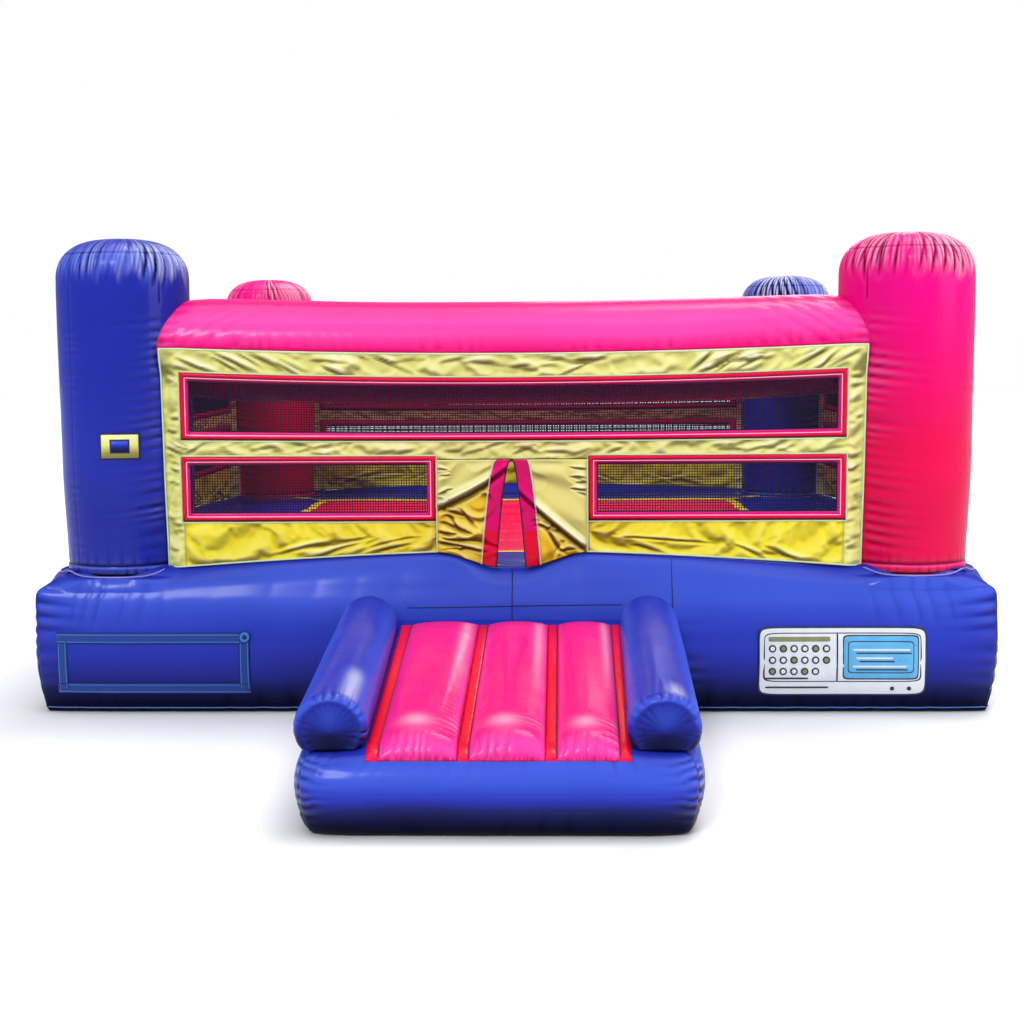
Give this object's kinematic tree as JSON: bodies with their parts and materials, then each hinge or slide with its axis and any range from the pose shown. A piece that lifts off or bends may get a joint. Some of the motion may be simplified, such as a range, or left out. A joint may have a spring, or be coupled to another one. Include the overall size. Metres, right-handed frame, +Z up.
{
  "type": "inflatable bounce house",
  "caption": "Low square inflatable bouncer with corner columns, netted walls, a slit entry with folding flaps, a short ramp with bolsters, and a fan on a tube.",
  "frame": {"origin": "on the ground, under the centre of the square base, which is also the middle of the whole footprint", "axes": "+Z up, +Y from the ramp to the fan at the back, +X to the right of someone facing the entry"},
  "size_m": [4.616, 8.3254, 2.28],
  "materials": {
    "vinyl_blue": "glossy PVC-coated polyester",
    "vinyl_pink": "glossy PVC-coated polyester",
    "vinyl_yellow": "crumpled PVC-coated polyester",
    "vinyl_red": "glossy PVC-coated polyester",
    "web_white": "uncoated polyester web",
    "net_dark": "knotless safety net",
    "hook_strip": "hook-and-loop tape",
    "sign_white": "printed vinyl",
    "webbing_black": "woven webbing",
    "ring_steel": "zinc plated wire",
    "zip_dark": "zip tape",
    "zip_metal": "nickel plated",
    "fan_orange": "moulded, fine texture",
    "fan_dark": "powder coated",
    "fan_wheel": "pressed sheet",
    "screw_zinc": "zinc plated",
    "rubber_black": "moulded rubber",
    "switch_red": "moulded rocker",
    "handle_black": "moulded grip"
  },
  "bodies": {
    "bouncer": {"base_chamber": "vinyl_blue", "base_baffles": "web_white", "floor_red": "vinyl_pink", "floor_yellow_border": "vinyl_yellow", "floor_blue": "vinyl_blue", "column_front_left": "vinyl_blue", "column_front_right": "vinyl_pink", "column_back_left": "vinyl_pink", "column_back_right": "vinyl_blue", "beam_front": "vinyl_pink", "beam_back": "vinyl_pink", "beam_left": "vinyl_pink", "beam_right": "vinyl_pink", "wall_front": "vinyl_yellow", "wall_back": "vinyl_yellow", "wall_left": "vinyl_yellow", "wall_right": "vinyl_yellow", "net_front": "net_dark", "net_back": "net_dark", "net_left": "net_dark", "net_right": "net_dark", "binding_front": "vinyl_red", "binding_back": "vinyl_red", "binding_left": "vinyl_red", "binding_right": "vinyl_red", "ramp_base": "vinyl_blue", "ramp_channel_left": "vinyl_pink", "ramp_channel_middle": "vinyl_pink", "ramp_channel_right": "vinyl_pink", "ramp_bolster_left": "vinyl_blue", "ramp_bolster_right": "vinyl_blue", "banner_strips": "hook_strip", "sign_panel": "sign_white", "column_patch": "vinyl_yellow", "anchor_patches": "vinyl_blue", "anchor_straps": "webbing_black", "inflation_tube": "vinyl_blue", "tube_strap": "webbing_black", "zip_tape": "zip_dark", "fan_housing": "fan_orange", "fan_cover": "fan_orange", "fan_grille": "fan_dark", "fan_motor": "fan_dark", "fan_handle": "handle_black", "fan_feet": "rubber_black", "fan_screws": "screw_zinc"},
    "flap_left": {"entry_flap_left": "vinyl_yellow", "flap_band_left": "vinyl_red"},
    "flap_right": {"entry_flap_right": "vinyl_yellow", "flap_band_right": "vinyl_red"},
    "slider": {"zip_slider": "zip_metal"},
    "impeller": {"fan_impeller": "fan_wheel"},
    "rocker": {"fan_switch": "switch_red"},
    "ring_1": {"anchor_ring_1": "ring_steel"},
    "ring_2": {"anchor_ring_2": "ring_steel"},
    "ring_3": {"anchor_ring_3": "ring_steel"},
    "ring_4": {"anchor_ring_4": "ring_steel"},
    "ring_5": {"anchor_ring_5": "ring_steel"},
    "ring_6": {"anchor_ring_6": "ring_steel"}
  },
  "joints": [
    {"name": "flap_left_fold", "type": "hinge", "parent": "bouncer", "child": "flap_left", "pos_m": [0, -2.182, 1.2], "axis": [-0.5672, 0, -0.8236], "range_deg": [-100, 100]},
    {"name": "flap_right_fold", "type": "hinge", "parent": "bouncer", "child": "flap_right", "pos_m": [0, -2.182, 1.2], "axis": [0.5672, 0, -0.8236], "range_deg": [-100, 100]},
    {"name": "zip_slide", "type": "slide", "parent": "bouncer", "child": "slider", "axis": [0, 1, 0], "range_m": [0, 0.45]},
    {"name": "impeller_spin", "type": "hinge", "parent": "bouncer", "child": "impeller", "pos_m": [0.9, 3.975, 0.215], "axis": [1, 0, 0], "continuous": true},
    {"name": "switch_rock", "type": "hinge", "parent": "bouncer", "child": "rocker", "pos_m": [0.714, 3.975, 0.313], "axis": [0, 1, 0], "range_deg": [-8, 8]},
    {"name": "ring_1_swing", "type": "hinge", "parent": "bouncer", "child": "ring_1", "pos_m": [-2.3, -1.4, 0.15], "axis": [0, 1, 0], "range_deg": [0, 165]},
    {"name": "ring_2_swing", "type": "hinge", "parent": "bouncer", "child": "ring_2", "pos_m": [-2.3, 1.4, 0.15], "axis": [0, 1, 0], "range_deg": [0, 165]},
    {"name": "ring_3_swing", "type": "hinge", "parent": "bouncer", "child": "ring_3", "pos_m": [2.3, -1.4, 0.15], "axis": [0, -1, 0], "range_deg": [0, 165]},
    {"name": "ring_4_swing", "type": "hinge", "parent": "bouncer", "child": "ring_4", "pos_m": [2.3, 1.4, 0.15], "axis": [0, -1, 0], "range_deg": [0, 165]},
    {"name": "ring_5_swing", "type": "hinge", "parent": "bouncer", "child": "ring_5", "pos_m": [-1.4, 2.3, 0.15], "axis": [1, 0, 0], "range_deg": [0, 165]},
    {"name": "ring_6_swing", "type": "hinge", "parent": "bouncer", "child": "ring_6", "pos_m": [1.4, 2.3, 0.15], "axis": [1, 0, 0], "range_deg": [0, 165]}
  ]
}
